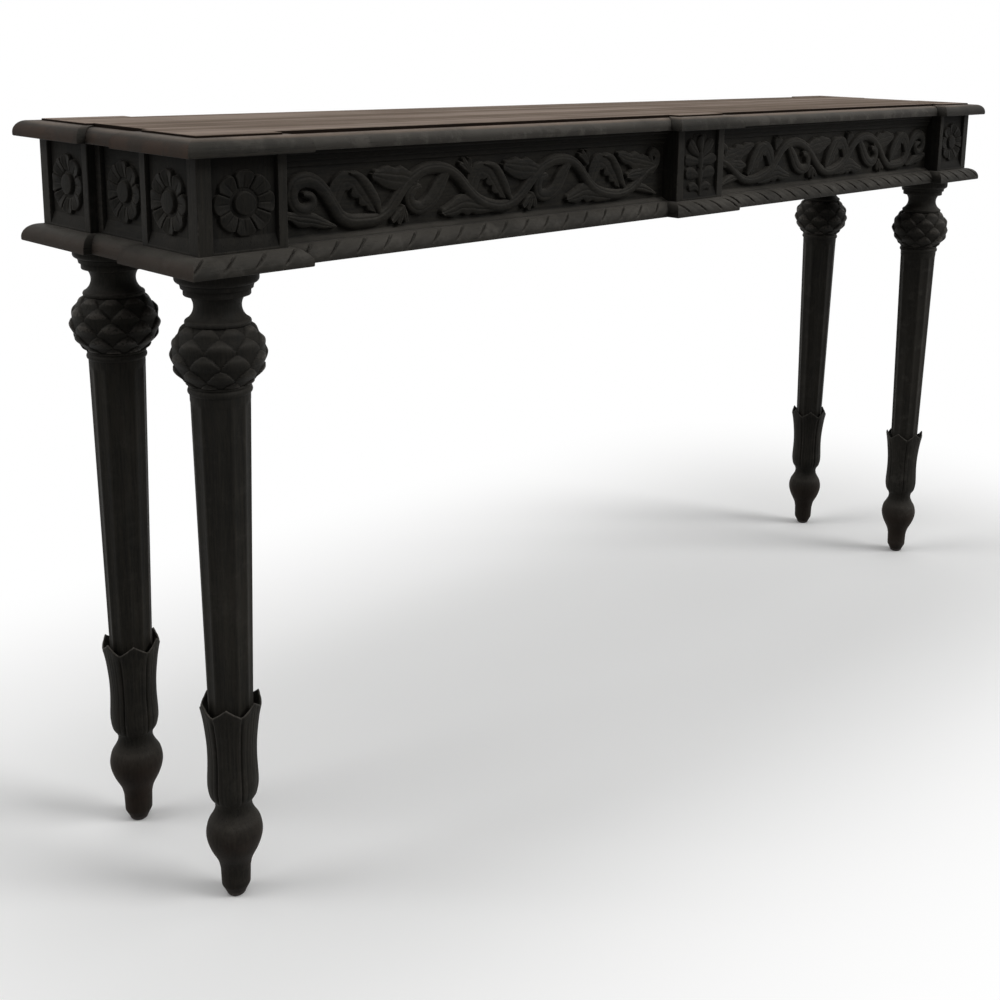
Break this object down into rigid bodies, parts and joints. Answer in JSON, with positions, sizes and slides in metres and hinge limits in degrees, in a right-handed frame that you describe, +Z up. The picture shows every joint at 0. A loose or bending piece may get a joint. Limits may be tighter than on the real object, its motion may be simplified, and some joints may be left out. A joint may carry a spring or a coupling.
{
  "type": "pier table",
  "caption": "Long narrow carved wooden side table with a stepped top, a scrolling-vine frieze, rope moulding and turned, fluted legs, for standing against a wall.",
  "frame": {"origin": "on the floor, under the middle of the table's outline", "axes": "+Z up, +X along the length to the right seen from the carved front, the front faces -Y"},
  "size_m": [1.748, 0.382, 0.915],
  "materials": {
    "carved_wood": "very dark brown stain with a worn satin wax finish",
    "top_wood": "dark greyish brown boards with a worn satin finish",
    "inner_wood": "sawn and planed wood, thinly stained",
    "glide_steel": "dull worn steel",
    "screw_steel": "plain steel"
  },
  "bodies": {
    "root": {"back_rail": "inner_wood", "centre_block": "carved_wood", "centre_flower": "carved_wood", "corner_block_back_left": "carved_wood", "corner_block_back_right": "carved_wood", "corner_block_front_left": "carved_wood", "corner_block_front_right": "carved_wood", "cross_bearer_centre": "inner_wood", "cross_bearer_left": "inner_wood", "cross_bearer_right": "inner_wood", "end_panel_left": "carved_wood", "end_panel_right": "carved_wood", "frieze_panel_left": "carved_wood", "frieze_panel_right": "carved_wood", "front_bearer": "inner_wood", "glide_back_left": "glide_steel", "glide_back_right": "glide_steel", "glide_front_left": "glide_steel", "glide_front_right": "glide_steel", "leg_back_left": "carved_wood", "leg_back_right": "carved_wood", "leg_front_left": "carved_wood", "leg_front_right": "carved_wood", "rope_moulding_back_left_corner": "carved_wood", "rope_moulding_back_right_corner": "carved_wood", "rope_moulding_back_run": "carved_wood", "rope_moulding_centre": "carved_wood", "rope_moulding_front_left_corner": "carved_wood", "rope_moulding_front_left_run": "carved_wood", "rope_moulding_front_right_corner": "carved_wood", "rope_moulding_front_right_run": "carved_wood", "rope_moulding_left_end_run": "carved_wood", "rope_moulding_right_end_run": "carved_wood", "rosette_front_left": "carved_wood", "rosette_front_right": "carved_wood", "rosette_left_end_back": "carved_wood", "rosette_left_end_front": "carved_wood", "rosette_left_end_middle": "carved_wood", "rosette_right_end_back": "carved_wood", "rosette_right_end_front": "carved_wood", "rosette_right_end_middle": "carved_wood", "top_board_back": "top_wood", "top_board_front": "top_wood", "top_board_middle": "top_wood", "top_moulding_back_left_corner": "carved_wood", "top_moulding_back_right_corner": "carved_wood", "top_moulding_back_run": "carved_wood", "top_moulding_centre": "carved_wood", "top_moulding_front_left_corner": "carved_wood", "top_moulding_front_left_run": "carved_wood", "top_moulding_front_right_corner": "carved_wood", "top_moulding_front_right_run": "carved_wood", "top_moulding_left_end_run": "carved_wood", "top_moulding_right_end_run": "carved_wood", "top_screws": "screw_steel"}
  },
  "joints": []
}
